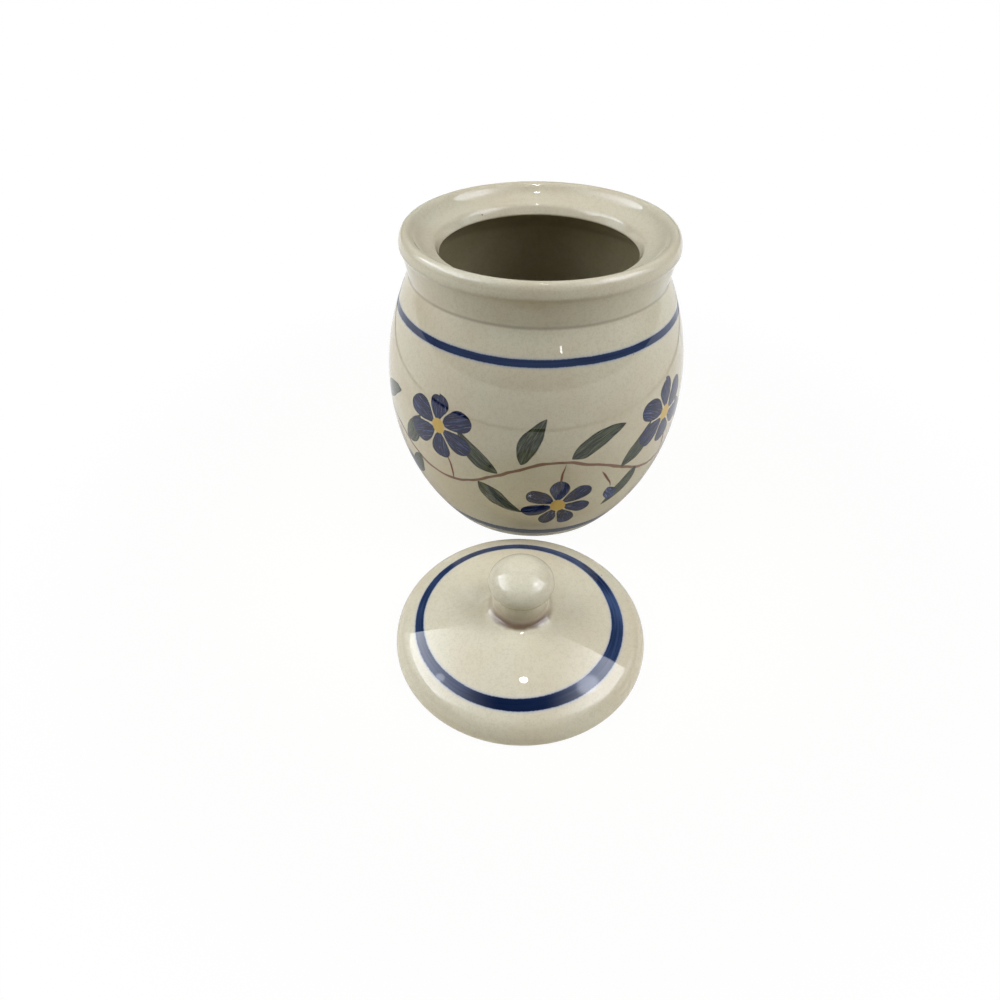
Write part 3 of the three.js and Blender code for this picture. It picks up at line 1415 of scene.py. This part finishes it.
@dataclass
class Studio:
    """The floor, the light and the camera. Sizes in metres."""

    panels: tuple[GlowPanel, ...] = (
        GlowPanel(
            "panel_left",
            (
                (-0.110, -1.200, 0.60),
                (-0.119, 0.230, 0.60),
                (-0.417, 0.289, 0.60),
                (-0.592, 0.347, 0.60),
                (-0.950, 0.510, 0.60),
                (-0.950, -1.200, 0.60),
            ),
            6.7,
            fade_y=(-0.56, -0.28),
            left_over=0.06,
            fade_x=(-0.08, -0.80),
            hot=HotSpot(4.0, (-0.475, -0.075), (0.06, 0.04)),
        ),
        GlowPanel(
            "panel_right",
            (
                (0.130, -1.200, 0.60),
                (0.950, -1.200, 0.60),
                (0.950, 0.065, 0.60),
                (0.693, 0.073, 0.60),
                (0.428, 0.101, 0.60),
                (0.130, 0.185, 0.60),
            ),
            5.85,
            fade_y=(-0.62, -0.32),
            left_over=0.06,
            fade_x=(0.10, 0.55),
            hot=HotSpot(5.0, (0.385, -0.130), (0.11, 0.09)),
        ),
        GlowPanel(
            "side_left",
            ((-0.95, -0.75, 0.60), (-0.95, 0.51, 0.60), (-0.95, 0.46, 0.14), (-0.95, -0.75, 0.14)),
            2.0,
            fade_y=(-0.55, 0.25),
            fade_z=(0.12, 0.42),
        ),
        GlowPanel(
            "side_right",
            ((0.95, -0.95, 0.16), (0.95, 0.12, 0.16), (0.95, 0.165, 0.60), (0.95, -0.95, 0.60)),
            1.9,
            fade_y=(-0.80, 0.10),
            fade_z=(0.14, 0.44),
        ),
    )
    lamps: tuple[Lamp, ...] = (
        Lamp(
            "glint_front",
            LampShape.OBLONG,
            (0.423, -1.42, 0.570),
            (0.04, 0.10),
            math.pi * 0.04 * 0.10 * 15.0,
            (0.0, -0.06, 0.05),
        ),
        Lamp("ceiling_lamp", LampShape.ROUND, (0.022, -0.095, 0.75), (0.044, 0.044), 0.28),
    )
    floor_half: float = 6.0
    floor_drop: float = 0.0003
    floor_white: Colour = (0.95, 0.89, 0.68, 1.0)
    floor_far: Colour = (0.24, 0.215, 0.16, 1.0)
    floor_reach: Point = (0.10, 0.23)
    lift: float = 0.955
    clear: Point = (0.11, 0.27)
    middle: Point = (0.0, -0.015)
    # Painted shadow in the floor's reflections: its level near the pieces, its gain and its reach.
    dim: float = 0.29
    dim_gain: float = 0.65
    dim_reach: Point = (0.03, 0.15)
    board_middle: Point = (0.0, 0.02)
    board: float = 0.286
    board_edge: Point = (0.0056, 0.014)
    room: Colour = (0.04, 0.04, 0.04, 1.0)
    surround: Colour = (1.0, 1.0, 1.0, 1.0)
    lens: float = 25.026
    sensor: float = 36.0
    clip_start: float = 0.01
    eye: Spot = (-0.015922, -0.281337, 0.230110)
    look_down: float = 0.72261

    def build(self) -> None:
        """Sets the whole stage."""
        self._floor()
        self._world()
        for panel in self.panels:
            self._panel(panel)
        for lamp in self.lamps:
            self._lamp(lamp)
        self._camera()

    @staticmethod
    def _sheet(name: str, corners: Sequence[Spot]) -> tuple[Object, NodeBench]:
        """Lays or hangs a flat sheet that isn't part of the jar.

        Args:
            name: Its name.
            corners: Its corners in order.

        Returns:
            The sheet and the bench for its material.
        """
        mesh = bpy.data.meshes.new(name)
        mesh.from_pydata(corners, [], [tuple(range(len(corners)))])
        sheet = stand(name, mesh)
        material = bpy.data.materials.new(name)
        mesh.materials.append(material)
        return sheet, NodeBench.cleared(material)

    def _floor(self) -> None:
        """A wide pale floor that keeps the shadows and looks white around them."""
        half, low = self.floor_half, -self.floor_drop
        corners = [(-half, -half, low), (half, -half, low), (half, half, low), (-half, half, low)]
        _, bench = self._sheet("studio_floor", corners)
        away = bench.length(*bench.beside(bench.where(), *self.middle))
        far = bench.ease(away, *self.floor_reach)
        paper = {"Color": bench.blend(far, self.floor_white, self.floor_far)}
        matt = bench.node("ShaderNodeBsdfDiffuse", paper).outputs[0]
        share, strength = self._white(bench, away)
        glow = bench.node("ShaderNodeEmission", {"Strength": strength}).outputs[0]
        mixed = bench.node("ShaderNodeMixShader", {0: share, 1: matt, 2: glow})
        bench.node("ShaderNodeOutputMaterial", {"Surface": mixed.outputs[0]})

    def _white(self, bench: NodeBench, away: Socket) -> tuple[Socket, Socket]:
        """How white the floor looks to a ray that shows it.

        It is all white far off and a little less so where the pieces' shadows fall. In reflections it is a
        round white board with a thin dark edge and a painted shadow that dims it close to the pieces.

        Args:
            bench: Where the nodes go.
            away: Distance along the floor.

        Returns:
            The share of the white and its strength.
        """
        straight = bench.line(bench.ease(away, *self.clear), 1.0 - self.lift, self.lift)
        # Painted shadow: in reflections the floor is dimmer close to the pieces.
        near = bench.line(bench.ease(away, *self.dim_reach), self.dim_gain, self.dim)
        from_middle = bench.length(*bench.beside(bench.where(), *self.board_middle))
        from_edge = bench.math("ABSOLUTE", bench.minus(from_middle, self.board))
        mirrored = bench.times(near, bench.ease(from_edge, *self.board_edge))
        path = bench.node("ShaderNodeLightPath").outputs
        glossy = bench.math("MAXIMUM", path["Is Glossy Ray"], path["Is Transmission Ray"])
        share = bench.line(straight, path["Is Camera Ray"], glossy)
        return share, bench.line(mirrored, glossy, path["Is Camera Ray"])

    def _world(self) -> None:
        """Even room light, with a white surround in view."""
        world = bpy.data.worlds.new("studio_room")
        bench = NodeBench.cleared(world)
        seen = bench.node("ShaderNodeLightPath").outputs["Is Camera Ray"]
        light, white = (
            bench.node("ShaderNodeBackground", {"Color": colour}).outputs[0]
            for colour in (self.room, self.surround)
        )
        mixed = bench.node("ShaderNodeMixShader", {0: seen, 1: light, 2: white})
        bench.node("ShaderNodeOutputWorld", {"Surface": mixed.outputs[0]})
        bpy.context.scene.world = world

    def _panel(self, panel: GlowPanel) -> None:
        """Hangs one glowing cloth out of the camera's sight.

        Args:
            panel: The cloth.
        """
        cloth, bench = self._sheet(panel.name, panel.corners)
        cloth.visible_camera = False
        cloth.visible_shadow = False
        x, y, z = bench.split(bench.where())
        strength = bench.line(bench.ease(y, *panel.fade_y), 1.0 - panel.left_over, panel.left_over)
        for along, fade in ((x, panel.fade_x), (z, panel.fade_z)):
            if fade:
                strength = bench.times(bench.ease(along, *fade), strength)
        strength = bench.times(strength, panel.radiance)
        if panel.hot:
            steps = zip((x, y), panel.hot.place, panel.hot.half)
            off = bench.squares(*(bench.over(bench.minus(at, to), half) for at, to, half in steps))
            strength = bench.line(bench.ease(off, *panel.hot.reach), panel.hot.radiance, strength)
        glow = bench.node("ShaderNodeEmission", {"Color": panel.tint, "Strength": strength})
        bench.node("ShaderNodeOutputMaterial", {"Surface": glow.outputs[0]})

    @staticmethod
    def _lamp(lamp: Lamp) -> None:
        """Hangs a lamp out of the camera's sight.

        Args:
            lamp: The lamp.
        """
        light = bpy.data.lights.new(lamp.name, "AREA")
        light.shape = lamp.shape.value
        light.size, light.size_y = lamp.size
        light.energy = lamp.power
        hung = stand(lamp.name, light, lamp.place)
        hung.visible_camera = False
        if lamp.aim:
            towards = Vector(lamp.aim) - Vector(lamp.place)
            hung.rotation_euler = towards.to_track_quat("-Z", "Y").to_euler()

    def _camera(self) -> None:
        """The camera, as high and as near as the picture was taken from."""
        data = bpy.data.cameras.new("camera")
        data.lens = self.lens
        data.sensor_width = self.sensor
        data.clip_start = self.clip_start
        camera = stand("camera", data, self.eye)
        camera.rotation_euler = (math.pi / 2 - self.look_down, 0.0, 0.0)
        bpy.context.scene.camera = camera


def main() -> None:
    """Builds the pieces and the stage in order."""
    logging.basicConfig(level=logging.INFO, format="%(name)s: %(message)s")
    bpy.context.scene.view_settings.view_transform = "Standard"
    dresser = Dresser()
    jar, lid, knob = JarBody(), Lid(), LidKnob()
    for part, piece in ((jar, jar.build()), (lid, lid.build()), (knob, knob.build(lid))):
        part.dress(piece, dresser)
        LOG.info("%s: %d faces", piece.name, len(piece.data.polygons))
    Studio().build()


if __name__ == "__main__":
    main()
